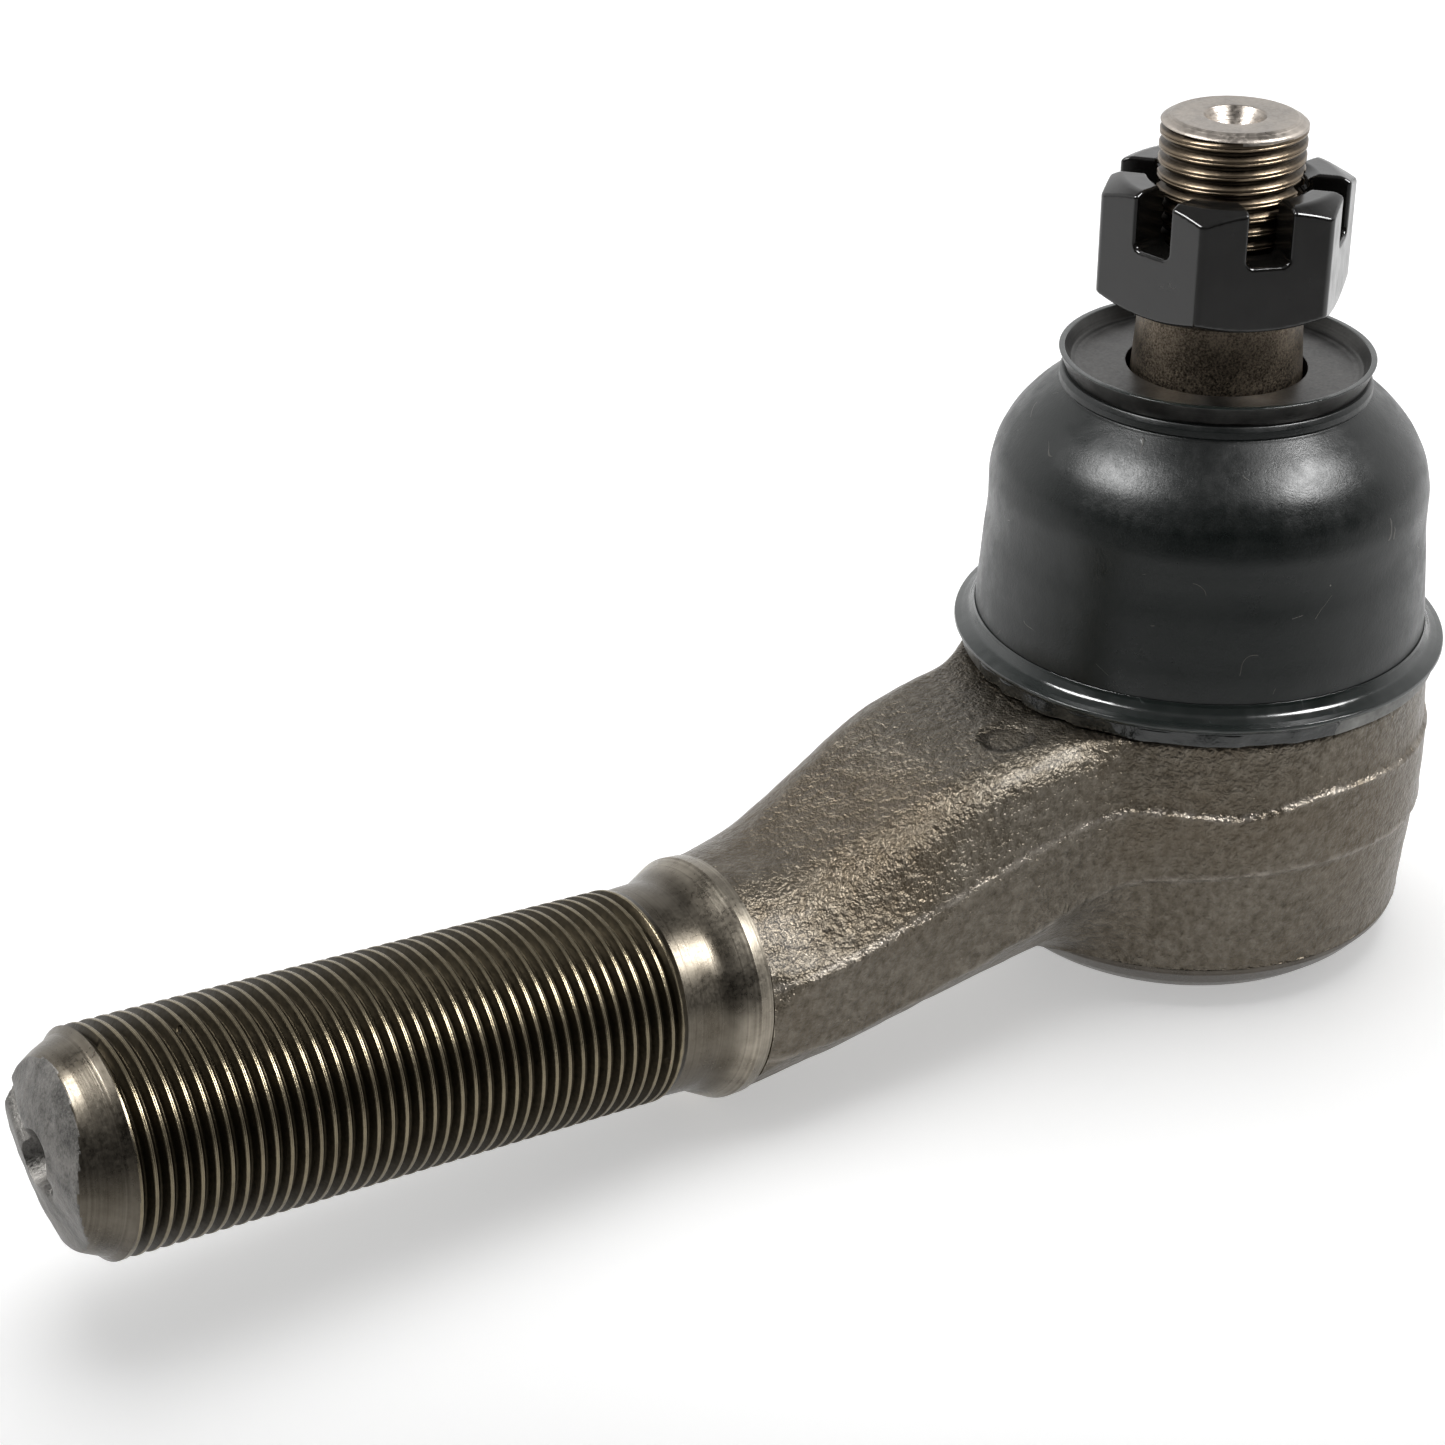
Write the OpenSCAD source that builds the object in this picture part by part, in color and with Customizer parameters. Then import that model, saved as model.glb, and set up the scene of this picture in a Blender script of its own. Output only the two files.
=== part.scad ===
// Outer tie rod end: a forged housing with a threaded shank, a ball stud in a
// sprung nylon seat, a rubber dust boot with a steel cup, and a slotted nut.
// Origin: on the stud axis, in the plane of the boot cup's rim, where the
// steering arm's eye seats on the taper. +Z is the stud axis, pointing at the
// stud's tip. The shank runs towards -X, in the XZ plane. Millimetres.

/* [Stud] */
// Diameter of the ball
ball_d = 25.4; // [24:0.1:26]
// Height of the ball's centre
ball_z = -42.8; // [-43.5:0.1:-42]
// Diameter of the neck just above the ball
neck_d = 14.8; // [13:0.1:15]
// Diameter of the taper at the gauge plane, z = 0
taper_gauge_d = 16.7; // [16.5:0.1:17]
// Length over which the taper's diameter grows by one unit
taper_ratio = 8; // [7:1:10]
// Height of the taper's small end
taper_top_z = 5.3; // [5:0.05:5.5]
// Height of the taper's large end, inside the boot
taper_bottom_z = -16.5; // [-17:0.5:-15]
// Major diameter of the stud's thread (9/16 in)
stud_thread_d = 14.29; // [14:0.01:14.4]
// Height of the stud's tip
stud_tip_z = 23.9; // [22.5:0.1:26]
// Diameter of the cotter pin hole
cotter_hole_d = 3.6; // [3.2:0.1:3.8]
// Height of the cotter pin hole's axis
cotter_z = 17.1; // [16.8:0.1:17.3]

/* [Nut] */
// Width across the flats (7/8 in and paint)
nut_flats = 22.5; // [22:0.1:24]
// Height of the nut's underside
nut_z = 5.85; // [5.85:0.05:6.5]
// Height of the nut, slots included
nut_height = 12.15; // [11.8:0.05:12.6]
// Width of each slot
slot_w = 4.3; // [4:0.1:4.6]
// Depth of each slot
slot_depth = 5.6; // [5.3:0.1:5.8]
// Turn of the slots about the stud axis, degrees
slot_turn = 6; // [0:1:59]

/* [Boot] */
// Height of the plane of the retaining ring's edge
ring_z = -29.3; // [-29.6:0.1:-29]
// Radius of the retaining ring's edge
ring_r = 25; // [24.8:0.1:25.5]
// Radius of the boot's wall where it leaves the ring
boot_base_r = 22.85; // [22.5:0.05:22.85]
// Radius of the boot where its dome begins
boot_dome_r = 22; // [21.5:0.1:22.5]
// Thickness of the boot's wall
boot_wall = 2; // [1.6:0.1:2.2]
// Radius of the steel cup's rim
cup_rim_r = 15.65; // [15.4:0.05:16]
// Radius of the hole in the steel cup
cup_hole_r = 8.95; // [8.9:0.05:9.2]

/* [Housing] */
// Largest radius of the forged housing
housing_r = 24.35; // [24:0.05:24.6]
// Height of the housing's underside
housing_bottom_z = -62.9; // [-63.5:0.1:-62.7]
// Radius of the bore that holds the seats
bore_r = 15.4; // [15:0.1:16]
// Radius of the spigot that the boot grips
spigot_r = 20.8; // [20.5:0.1:20.8]
// Radius of the pressed-in cover plate
cover_r = 17; // [16.6:0.1:17.2]
// Thickness of the cover plate
cover_t = 2.3; // [2.1:0.1:2.4]

/* [Shank] */
// Height at which the shank's axis meets the stud axis
shank_z = -56.55; // [-57:0.05:-56]
// Rise of the shank's axis towards its tip, degrees
shank_rise = 5.5; // [4:0.5:7]
// Distance from the stud axis to the shank's end face
shank_end = 131.8; // [125:0.1:150]
// Major diameter of the shank's thread (13/16 in)
shank_thread_d = 20.64; // [20.5:0.01:21]
// Length of the threaded stretch
shank_thread_l = 55.4; // [45:0.1:56]
// Diameter of the machined collar
collar_d = 23.6; // [23:0.1:24]
// Distance from the stud axis to the collar's forged edge
collar_s = 63; // [62:0.1:64]

/* [Hidden] */
$fn = 96;

forged_c = [0.27, 0.24, 0.21];
machined_c = [0.36, 0.32, 0.28];
rubber_c = [0.09, 0.11, 0.11];
black_c = [0.13, 0.13, 0.14];
nylon_c = [0.87, 0.84, 0.74];
spring_c = [0.45, 0.46, 0.48];

fit = 0.05;        // running clearance on a radius
seat_fit = 0.06;   // clearance between the ball and its seats
eps = 0.5;         // overrun of a cut
swing = 25.2;      // largest swing of the stud about the ball's centre

ball_r = ball_d / 2;
neck_r = neck_d / 2;
housing_top_z = ring_z - 2.6;
spigot_top_z = ring_z + 1.5;
seat_top_z = ball_z + 7.2;
seat_bottom_z = ball_z - 14.8;
cover_top_z = housing_bottom_z + 0.5 + cover_t;
rolled_lip_z = housing_bottom_z + 0.5;
nut_top_z = nut_z + nut_height;
slot_bottom_z = nut_top_z - slot_depth;
neck_top_z = ball_z + 20.8;  // high enough to clear the spigot at full swing

// Radius of the stud's taper at a height
function taper_r(z) = taper_gauge_d / 2 - z / (2 * taper_ratio);
// Radius that the swinging neck sweeps at a height above the ball's centre
function swept_r(h) = h * tan(swing) + neck_r / cos(swing) + 0.4;
// Point at a polar angle from +Z on a ball centred on the stud axis
function ball_point(r, a) = [r * sin(a), ball_z + r * cos(a)];

module turned(points) {
  rotate_extrude() polygon(points);
}

// Places its children on the shank's axis: their +Z runs to the shank's tip
module on_shank() {
  translate([0, 0, shank_z]) rotate([0, -90 + shank_rise, 0]) children();
}

// ---- Housing: forged eye, arm and threaded shank in one piece ----

module forged_eye() {
  turned([
    [0, housing_bottom_z], [17.6, housing_bottom_z], [19.6, housing_bottom_z + 1.1],
    [21.2, housing_bottom_z + 2.5], [23.1, housing_bottom_z + 4.6],
    [23.3, housing_bottom_z + 6.6], [housing_r, ring_z - 16], [housing_r, ring_z - 9.5],
    [23.9, housing_top_z], [spigot_r, housing_top_z], [spigot_r, spigot_top_z], [0, spigot_top_z]
  ]);
}

// Cross-section of the arm at x: a flat-sided octagon, given by the half-width and the
// two edges of the trimmed flash band, and the flats on top and underneath
module arm_section(x, side, band, top_flat, top_z, under_flat, under_z) {
  translate([x, 0, 0]) rotate([90, 0, 90]) linear_extrude(0.1) polygon([
    [-side, band[0]], [-side, band[1]], [-top_flat, top_z], [top_flat, top_z],
    [side, band[1]], [side, band[0]], [under_flat, under_z], [-under_flat, under_z]
  ]);
}

// Station number i of the arm, from the collar to the middle of the eye
module arm_station(i) {
  if (i == 0) arm_section(-62.8, 11.7, [-54.7, -46.5], 6, -40.5, 6, -61.2);
  if (i == 1) arm_section(-54.6, 12.1, [-54.6, -45.7], 7, -40.2, 7, -59.9);
  if (i == 2) arm_section(-44.3, 12.4, [-53.2, -43.8], 9, -36.8, 7, -58.4);
  if (i == 3) arm_section(-37.2, 12.7, [-52.1, -41.9], 10, -34.1, 7, -57.8);
  if (i == 4) arm_section(-29, 13, [-49.7, -39.9], 11, -32.7, 7, -57.3);
  if (i == 5) arm_section(-14, 18, [-47.2, -39.2], 12, -32.2, 8, -57);
}

module forged_arm() {
  for (i = [0:4]) hull() {
    arm_station(i);
    arm_station(i + 1);
  }
}

module shank() {
  thread_r = shank_thread_d / 2;
  thread_start = shank_end - 4.8 - shank_thread_l;
  on_shank() turned([
    [0, collar_s - 14], [8, collar_s - 14], [collar_d / 2, collar_s - 0.6],
    [collar_d / 2, collar_s + 0.9], [11.1, collar_s + 2], [10.35, collar_s + 3.6],
    [10.1, collar_s + 5.2], [10.1, thread_start - 0.4], [thread_r, thread_start],
    [thread_r, thread_start + shank_thread_l], [9.3, shank_end - 2.9],
    [8.6, shank_end - 1.9], [3, shank_end], [0, shank_end]
  ]);
}

// Everything bored out of the housing from below, and the flared mouth above
module housing_bores() {
  turned([
    [0, housing_bottom_z - eps], [16.2, housing_bottom_z - eps], [16.2, rolled_lip_z],
    [cover_r, rolled_lip_z], [cover_r, cover_top_z], [bore_r, cover_top_z],
    [bore_r, seat_top_z], [swept_r(seat_top_z - ball_z), seat_top_z],
    [swept_r(spigot_top_z + eps - ball_z), spigot_top_z + eps], [0, spigot_top_z + eps]
  ]);
}

module shank_centre_drill() {
  on_shank() turned([
    [0, shank_end - 3.2], [0.9, shank_end - 2.4], [0.9, shank_end - 2],
    [2.55, shank_end + eps], [0, shank_end + eps]
  ]);
}

module housing() {
  color(forged_c) difference() {
    union() {
      forged_eye();
      forged_arm();
      shank();
    }
    housing_bores();
    shank_centre_drill();
  }
}

// ---- Seats, spring and cover, stacked inside the bore ----

module ball_pocket() {
  translate([0, 0, ball_z]) sphere(ball_r + seat_fit);
}

module upper_seat() {
  lip = ball_point(ball_r + seat_fit, 62);
  top_r = swept_r(seat_top_z - ball_z);
  color(nylon_c) difference() {
    turned([
      [lip[0] - 1, lip[1]], [lip[0], lip[1]], [top_r, seat_top_z], [bore_r, seat_top_z],
      [bore_r, ball_z + 0.3], [lip[0] - 1, ball_z + 0.3]
    ]);
    ball_pocket();
  }
}

module lower_seat() {
  grease_hole_r = 2.5;
  color(nylon_c) difference() {
    turned([
      [grease_hole_r, seat_bottom_z], [grease_hole_r, ball_z - 0.3],
      [bore_r, ball_z - 0.3], [bore_r, seat_bottom_z]
    ]);
    ball_pocket();
  }
}

// A disc spring: a flat ring pressed into a shallow cone
module preload_spring() {
  t = 1.1;
  color(spring_c) turned([
    [7, seat_bottom_z], [7, seat_bottom_z - t], [14, cover_top_z], [14, cover_top_z + t]
  ]);
}

module cover_plate() {
  dish_r = 10;
  dish_depth = 0.7;
  color(machined_c) turned([
    [0, cover_top_z], [cover_r, cover_top_z], [cover_r, rolled_lip_z],
    [dish_r + 1, rolled_lip_z], [dish_r, rolled_lip_z + dish_depth], [0, rolled_lip_z + dish_depth]
  ]);
}

// ---- Dust boot, its ring and its cup ----

module boot_retaining_ring() {
  socket_r = boot_base_r + fit;
  color(black_c) turned([
    [spigot_r, housing_top_z], [24.3, housing_top_z], [24.3, ring_z - 0.9],
    [ring_r, ring_z - 0.6], [ring_r, ring_z - 0.1], [23.7, ring_z + 0.7],
    [socket_r, ring_z + 1.5], [socket_r, ring_z - 0.8], [spigot_r, ring_z - 0.8]
  ]);
}

// Outline of the boot: up the outside, over the shoulder, and down the inside
module dust_boot() {
  foot_z = ring_z - 0.75;
  seal_z = -4.1;
  seal_r = taper_r(seal_z) + 0.15;
  color(rubber_c) turned([
    [spigot_r + fit, foot_z], [boot_base_r, foot_z], [boot_base_r, ring_z + 2.5],
    [22.45, ring_z + 7.5], [boot_dome_r, ring_z + 12], [boot_dome_r, ring_z + 15.5],
    [21.75, ring_z + 17.5], [20.85, ring_z + 20], [19.15, ring_z + 22.5],
    [16.55, ring_z + 25], [15.3, ring_z + 26], [15.3, ring_z + 26.4],
    [seal_r, ring_z + 26.4], [seal_r, seal_z],
    [13, seal_z], [16.55 - boot_wall / 2, ring_z + 23.2],
    [20.85 - boot_wall, ring_z + 18.8], [boot_dome_r - boot_wall, ring_z + 15],
    [spigot_r + fit, ring_z + 5]
  ]);
}

// A pressed cup: a flat floor around the stud and a flared wall up to a thin rim
module boot_cup() {
  floor_z = -1.4;
  under_z = -2.8;
  color(black_c) turned([
    [cup_hole_r, under_z], [14.8, under_z], [15.05, -1.6], [cup_rim_r, -0.1],
    [cup_rim_r - 0.05, 0], [cup_rim_r - 0.6, 0], [14.5, floor_z], [cup_hole_r, floor_z]
  ]);
}

// ---- Stud and nut ----

module ball_stud() {
  thread_r = stud_thread_d / 2;
  thread_root_r = thread_r - 0.95;
  color(machined_c) difference() {
    union() {
      translate([0, 0, ball_z]) sphere(ball_r);
      turned([
        [0, ball_z], [neck_r, ball_z], [neck_r, neck_top_z],
        [taper_r(taper_bottom_z), taper_bottom_z], [taper_r(taper_top_z), taper_top_z],
        [thread_root_r, taper_top_z + 0.3], [thread_root_r, nut_z],
        [thread_r, nut_z + 0.9], [thread_r, stud_tip_z - 1.1], [6, stud_tip_z], [0, stud_tip_z]
      ]);
    }
    translate([0, 0, cotter_z]) rotate([90, 0, slot_turn + 30])
      cylinder(h = 2 * thread_r + 2 * eps, d = cotter_hole_d, center = true);
    turned([
      [0, stud_tip_z - 4.4], [1, stud_tip_z - 3.6], [1, stud_tip_z - 3],
      [3.2, stud_tip_z + eps / 2], [0, stud_tip_z + eps / 2]
    ]);
  }
}

// Hexagon with its corners turned off by a cone at both ends
module hex_blank() {
  corner_r = nut_flats / 2 / cos(30);
  hex_turn = slot_turn + 30;
  intersection() {
    translate([0, 0, nut_z]) rotate([0, 0, hex_turn]) cylinder(h = nut_height, r = corner_r, $fn = 6);
    turned([
      [0, nut_z], [nut_flats / 2 - 0.2, nut_z], [corner_r + 0.1, nut_z + 1.1],
      [corner_r + 0.1, nut_top_z - 1.3], [nut_flats / 2 - 0.5, nut_top_z], [0, nut_top_z]
    ]);
  }
}

module slotted_nut() {
  bore = stud_thread_d / 2 + fit;
  color(black_c) difference() {
    hex_blank();
    translate([0, 0, nut_z - eps]) cylinder(h = nut_height + 2 * eps, r = bore);
    for (a = [0:60:120]) rotate([0, 0, slot_turn + a])
      translate([-nut_flats, -slot_w / 2, slot_bottom_z]) cube([2 * nut_flats, slot_w, slot_depth + eps]);
  }
}

housing();
upper_seat();
lower_seat();
preload_spring();
cover_plate();
boot_retaining_ring();
dust_boot();
boot_cup();
ball_stud();
slotted_nut();
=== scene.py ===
"""A tie rod end: a forged housing with a threaded shank, its ball stud, castle nut and dust boot.

Shapes are worked out in millimetres, in the part's own frame: the stud stands along +Z with its taper's
gauge plane at zero, and the shank runs towards -X. mesh_piece() scales them to metres.
"""
import math

import bpy
import numpy as np
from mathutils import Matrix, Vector


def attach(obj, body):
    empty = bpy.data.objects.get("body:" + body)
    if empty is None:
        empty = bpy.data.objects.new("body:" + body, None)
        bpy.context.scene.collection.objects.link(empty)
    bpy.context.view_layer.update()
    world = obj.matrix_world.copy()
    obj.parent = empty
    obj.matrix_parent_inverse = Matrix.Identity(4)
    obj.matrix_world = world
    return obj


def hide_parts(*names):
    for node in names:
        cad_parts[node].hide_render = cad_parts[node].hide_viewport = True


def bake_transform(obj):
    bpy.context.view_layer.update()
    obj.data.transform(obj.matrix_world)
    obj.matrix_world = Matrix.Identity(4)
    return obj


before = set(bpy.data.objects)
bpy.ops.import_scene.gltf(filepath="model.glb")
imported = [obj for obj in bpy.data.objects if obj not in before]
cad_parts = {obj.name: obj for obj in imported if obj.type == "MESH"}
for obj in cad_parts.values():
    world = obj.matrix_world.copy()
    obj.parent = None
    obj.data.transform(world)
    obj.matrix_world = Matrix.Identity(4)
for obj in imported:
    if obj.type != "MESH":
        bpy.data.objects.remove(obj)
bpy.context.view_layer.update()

MM = 0.001
scene = bpy.context.scene

# ---- Sizes, in millimetres ----

BALL_R, BALL_Z = 12.7, -42.8
RING_Z = -29.3              # height of the boot's retaining flange
BOTTOM_Z = -62.9            # underside of the housing
SHANK_Z, SHANK_RISE = -56.55, math.radians(5.5)
SHANK_AXIS = np.array([-math.cos(SHANK_RISE), 0.0, math.sin(SHANK_RISE)])
SHANK_FROM = np.array([0.0, 0.0, SHANK_Z])
SHANK_R = 10.38
FORGING_END = 62.3          # where turning of the shank starts, along its axis
THREAD_START, THREAD_END = 71.7, 126.6
SHANK_PITCH, STUD_PITCH = 1.411, 1.411
STUD_R = 7.08
STUD_TIP = 23.9
COTTER_Z, COTTER_R, COTTER_TURN = 17.1, 1.8, math.radians(-54)
NUT_FLATS, NUT_Z, NUT_TOP, NUT_TURN = 22.5, 5.85, 18.0, math.radians(6)
SLOT_W, SLOT_Z, SLOT_SKEW = 4.3, 12.4, math.radians(1.6)
EYE_CUT = -58.1             # below this the eye is turned
SEAM_Z = -16.0              # where the boot's two halves meet
DENT = np.array([-29.7, -5.5, -32.2])   # hardness test mark on top of the arm


# ---- Small maths ----

def smooth(t):
    t = np.clip(t, 0, 1)
    return t * t * (3 - 2 * t)


def curve(x, points):
    """Smooth curve through (x, value) points, held level past its ends."""
    xs, ys = np.array(points, float).T
    slope = np.gradient(ys, xs)
    x = np.clip(x, xs[0], xs[-1])
    i = np.clip(np.searchsorted(xs, x) - 1, 0, len(xs) - 2)
    w = xs[i + 1] - xs[i]
    t = (x - xs[i]) / w
    return ((2 * t**3 - 3 * t**2 + 1) * ys[i] + (t**3 - 2 * t**2 + t) * w * slope[i]
            + (3 * t**2 - 2 * t**3) * ys[i + 1] + (t**3 - t**2) * w * slope[i + 1])


LATTICE = np.random.default_rng(11).uniform(-1, 1, (64, 64, 64))


def noise(p, size, seed=0):
    """Smooth noise in -1..1 at points (..., 3), with bumps about size millimetres apart."""
    q = np.asarray(p) / size + seed * 7.31
    i = np.floor(q).astype(int)
    t = smooth(q - i)
    total = 0
    for a in (0, 1):
        for b in (0, 1):
            for c in (0, 1):
                weight = np.abs(1 - a - t[..., 0]) * np.abs(1 - b - t[..., 1]) * np.abs(1 - c - t[..., 2])
                total = total + weight * LATTICE[(i[..., 0] + a) % 64, (i[..., 1] + b) % 64,
                                                 (i[..., 2] + c) % 64]
    return total


def round_max(a, b, r):
    """Overlap of two solids given as distances, with the shared edge rounded to radius r."""
    return np.minimum(np.maximum(a, b), -r) + np.hypot(np.maximum(a + r, 0), np.maximum(b + r, 0))


def smooth_min(a, b, k):
    """Union of two solids given as distances, with a fillet about k wide."""
    h = np.maximum(k - np.abs(a - b), 0) / k
    return np.minimum(a, b) - h * h * k / 4


def on_shank(p):
    """Places points (x, y, along) on the shank's axis."""
    up = np.array([math.sin(SHANK_RISE), 0.0, math.cos(SHANK_RISE)])
    p = np.asarray(p)
    return SHANK_FROM + p[:, :1] * up + p[:, 1:2] * np.array([0.0, 1.0, 0.0]) + p[:, 2:] * SHANK_AXIS


def shank_place(p):
    """(distance along the shank, distance from its axis) of points."""
    rel = p - SHANK_FROM
    along = rel @ SHANK_AXIS
    return along, np.linalg.norm(rel - along[..., None] * SHANK_AXIS, axis=-1)


# ---- Mesh building ----

def outline(points, step=1.0, closed=False):
    """Rounds the corners of a line of (radius, height[, rounding]) points and splits its long stretches."""
    raw = [(np.array(p[:2], float), p[2] if len(p) > 2 else 0.0) for p in points]
    out = []
    n = len(raw)
    for i, (p, r) in enumerate(raw):
        if r <= 0 or (not closed and i in (0, n - 1)):
            out.append(p)
            continue
        a, b = raw[i - 1][0] - p, raw[(i + 1) % n][0] - p
        la, lb = np.linalg.norm(a), np.linalg.norm(b)
        half = math.acos(max(-1, min(1, a @ b / (la * lb)))) / 2
        t = min(r / math.tan(half), 0.48 * la, 0.48 * lb)
        start, end = p + a / la * t, p + b / lb * t
        out += [start * (1 - u)**2 + p * 2 * u * (1 - u) + end * u * u for u in np.linspace(0, 1, 6)]
    if closed:
        out.append(out[0])
    line = [out[0]]
    for a, b in zip(out, out[1:]):
        parts = max(1, math.ceil(np.linalg.norm(b - a) / step))
        line += [a + (b - a) * k / parts for k in range(1, parts + 1)]
    return np.array(line[:-1] if closed else line)


def weld(verts, faces):
    """Merges vertices at the same place, drops collapsed faces, and turns the faces outward."""
    _, first, same = np.unique(np.round(verts * 2e4).astype(np.int64), axis=0, return_index=True,
                               return_inverse=True)
    same = same.ravel()
    verts = verts[first]
    faces = same[faces]
    kept = [f for f in (list(dict.fromkeys(f)) for f in faces.tolist()) if len(f) > 2]
    return verts, outward(verts, faces, kept)


def outward(verts, quads, faces):
    """Faces turned so that they face outward; quads are the same faces as an array."""
    a, b, c, d = (verts[quads[:, k]] for k in range(4))
    volume = np.einsum("ij,ij", a, np.cross(b, c)) + np.einsum("ij,ij", a, np.cross(c, d))
    return faces if volume > 0 else [f[::-1] for f in faces]


def revolve(profile, n, thread=None, closed=False):
    """Surface of revolution about Z. thread = (index, pitch, groove, fade) cuts a helical groove between
    profile points index and index + 1, at the crest's radius; groove is [(share, depth) in pitches, ...]."""
    profile = np.asarray(profile)
    radius, height = np.tile(profile[:, 0], (n, 1)), np.tile(profile[:, 1], (n, 1))
    columns = np.arange(len(profile))
    shifted = columns
    if thread:
        at, pitch, groove, fade = thread
        z0, z1 = profile[at, 1], profile[at + 1, 1]
        share, depth = np.array(groove).T
        m = len(groove)
        k = np.arange((int((z1 - z0) / pitch) + 3) * m)
        z = np.clip(z0 + pitch * (k // m - 1 + share[k % m] + np.arange(n)[:, None] / n), z0, z1)
        r = profile[at, 0] - pitch * depth[k % m] * smooth((z - z0) / fade) * smooth((z1 - z) / fade)
        radius = np.hstack([radius[:, :at + 1], r, radius[:, at + 1:]])
        height = np.hstack([height[:, :at + 1], z, height[:, at + 1:]])
        columns = np.arange(radius.shape[1])
        shifted = columns.copy()
        shifted[at + 1:at + 1 + len(k)] = at + 1 + np.minimum(k + m, len(k) - 1)
    angle = 2 * math.pi * np.arange(n)[:, None] / n
    verts = np.stack([radius * np.cos(angle), radius * np.sin(angle), height], -1).reshape(-1, 3)
    size = len(columns)
    near, far = columns[:-1], columns[1:]
    if closed:
        near, far = columns, np.roll(columns, -1)
    faces = []
    for i in range(n):
        after = (columns if i < n - 1 else shifted) + ((i + 1) % n) * size
        faces.append(np.stack([near + i * size, far + i * size, after[far], after[near]], -1))
    return weld(verts, np.concatenate(faces))


def surface_net(solid, low, high, step):
    """Closed quad mesh of the surface where solid(points) crosses zero; solid is negative inside."""
    axes = [np.arange(a, b + step, step) for a, b in zip(low, high)]
    value = solid(np.stack(np.meshgrid(*axes, indexing="ij"), -1))
    inside = value < 0
    corners = [np.array((a, b, c)) for a in (0, 1) for b in (0, 1) for c in (0, 1)]
    nx, ny, nz = np.array(value.shape) - 1
    count = sum(inside[a:a + nx, b:b + ny, c:c + nz].astype(np.int8) for a, b, c in corners)
    active = (count > 0) & (count < 8)
    cells = np.argwhere(active)
    index = np.full(active.shape, -1)
    index[active] = np.arange(len(cells))
    total, hits = np.zeros((len(cells), 3)), np.zeros(len(cells))
    for corner in corners:
        for k in range(3):
            if corner[k]:
                continue
            here = cells + corner
            there = here.copy()
            there[:, k] += 1
            a, b = value[tuple(here.T)], value[tuple(there.T)]
            m = (a < 0) != (b < 0)
            point = here[m].astype(float)
            point[:, k] += (a[m] / (a[m] - b[m]))
            total[m] += point
            hits[m] += 1
    verts = np.array(low) + step * total / hits[:, None]
    faces = []
    for k in range(3):
        u, v = (k + 1) % 3, (k + 2) % 3
        lower = [slice(None)] * 3
        upper = [slice(None)] * 3
        lower[k], upper[k] = slice(None, -1), slice(1, None)
        starts = inside[tuple(lower)]
        change = starts != inside[tuple(upper)]
        edge = np.argwhere(change)
        flip = starts[tuple(edge.T)]
        ring = []
        for du, dv in ((0, 0), (1, 0), (1, 1), (0, 1)):
            cell = edge.copy()
            cell[:, u] -= du
            cell[:, v] -= dv
            ring.append(index[tuple(cell.T)])
        quad = np.stack(ring, -1)
        quad[flip] = quad[flip][:, ::-1]
        faces.append(quad)
    faces = np.concatenate(faces)[:, ::-1]
    for _ in range(4):
        slope = gradient(solid, verts, step * 0.2)
        verts -= np.clip((solid(verts) / np.maximum((slope**2).sum(1), 0.2))[:, None] * slope, -step, step)
    return verts, faces


def gradient(solid, p, e):
    return np.stack([(solid(p + e * axis) - solid(p - e * axis)) / (2 * e) for axis in np.eye(3)], -1)


def mesh_piece(name, verts, faces, sharp=40):
    """New object from millimetre vertices, shaded smooth but for edges sharper than the angle."""
    mesh = bpy.data.meshes.new(name)
    mesh.from_pydata((np.asarray(verts) * MM).tolist(), [], [list(map(int, f)) for f in faces])
    mesh.shade_smooth()
    mesh.set_sharp_from_angle(angle=math.radians(sharp))
    piece = bpy.data.objects.new(name, mesh)
    scene.collection.objects.link(piece)
    return piece


def combine(piece, verts, faces, operation, sharp=40):
    """Boolean of a piece with another closed mesh."""
    other = mesh_piece("tool", verts, faces)
    boolean = piece.modifiers.new("boolean", "BOOLEAN")
    boolean.operation, boolean.object, boolean.solver = operation, other, "MANIFOLD"
    depsgraph = bpy.context.evaluated_depsgraph_get()
    mesh = bpy.data.meshes.new_from_object(piece.evaluated_get(depsgraph))
    piece.modifiers.clear()
    piece.data = mesh
    bpy.data.objects.remove(other)
    mesh.shade_smooth()
    mesh.set_sharp_from_angle(angle=math.radians(sharp))


def vertex_places(piece):
    co = np.zeros(len(piece.data.vertices) * 3, np.float32)
    piece.data.vertices.foreach_get("co", co)
    return co.reshape(-1, 3).astype(float) / MM


def face_centres(piece):
    co = np.zeros(len(piece.data.polygons) * 3, np.float32)
    piece.data.polygons.foreach_get("center", co)
    return co.reshape(-1, 3) / MM


def finish_piece(piece, body, node, materials, choice=None):
    """Gives a piece its materials and body, and hides the CAD node it replaces; choice is a material number
    for each face.
    """
    piece.data.materials.clear()
    for material in materials:
        piece.data.materials.append(material)
    if choice is not None:
        piece.data.polygons.foreach_set("material_index", np.asarray(choice, np.int32))
    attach(piece, body)
    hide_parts(node)
    return piece


# ---- Materials ----

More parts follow.
